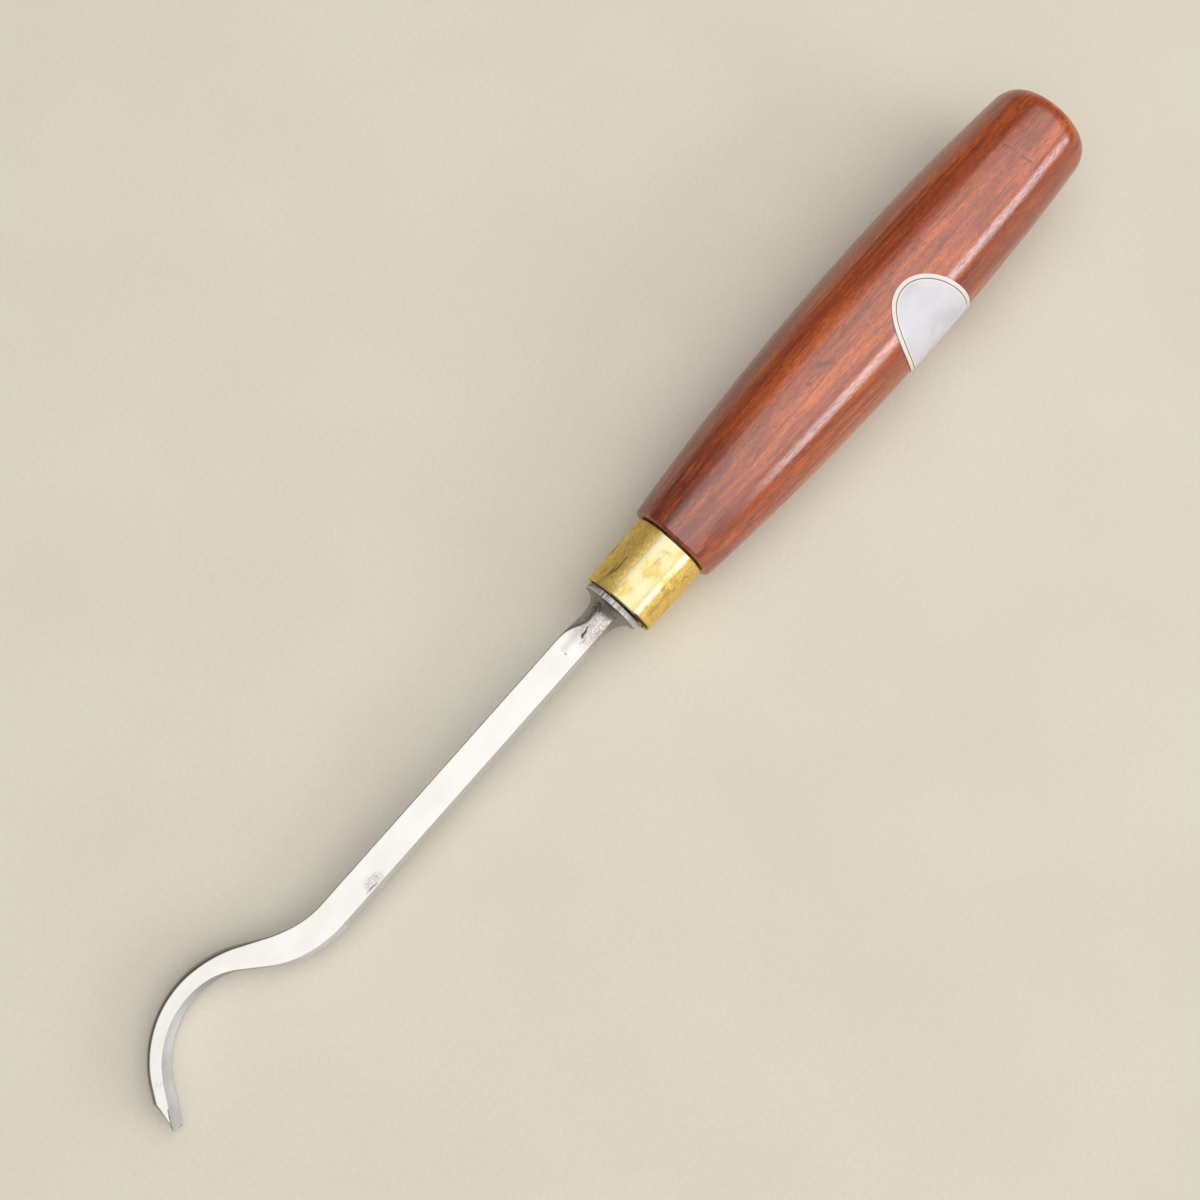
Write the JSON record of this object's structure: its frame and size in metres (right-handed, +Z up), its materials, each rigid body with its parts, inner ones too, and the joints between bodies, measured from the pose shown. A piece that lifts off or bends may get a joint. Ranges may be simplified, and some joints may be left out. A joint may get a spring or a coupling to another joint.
{
  "type": "spoon gouge",
  "caption": "Hand carving gouge with a crooked spoon blade on a square shank, a flared bolster, a brass ferrule and a turned hardwood handle, lying on its side.",
  "frame": {"origin": "middle of the bounding box's footprint, on the plane that the tool lies on", "axes": "+X along the tool towards the handle's butt, +Y to the side that the spoon bulges to, +Z up as the tool lies on its side"},
  "size_m": [0.261, 0.0283, 0.027],
  "materials": {
    "blade": "ground bright, with file marks and a few dark pits",
    "ferrule": "polished, tarnished in patches",
    "handle": "varnished red-brown hardwood",
    "label": "satin silver, blank"
  },
  "bodies": {
    "root": {"blade": "blade", "ferrule": "ferrule", "handle": "handle", "label": "label"}
  },
  "joints": []
}
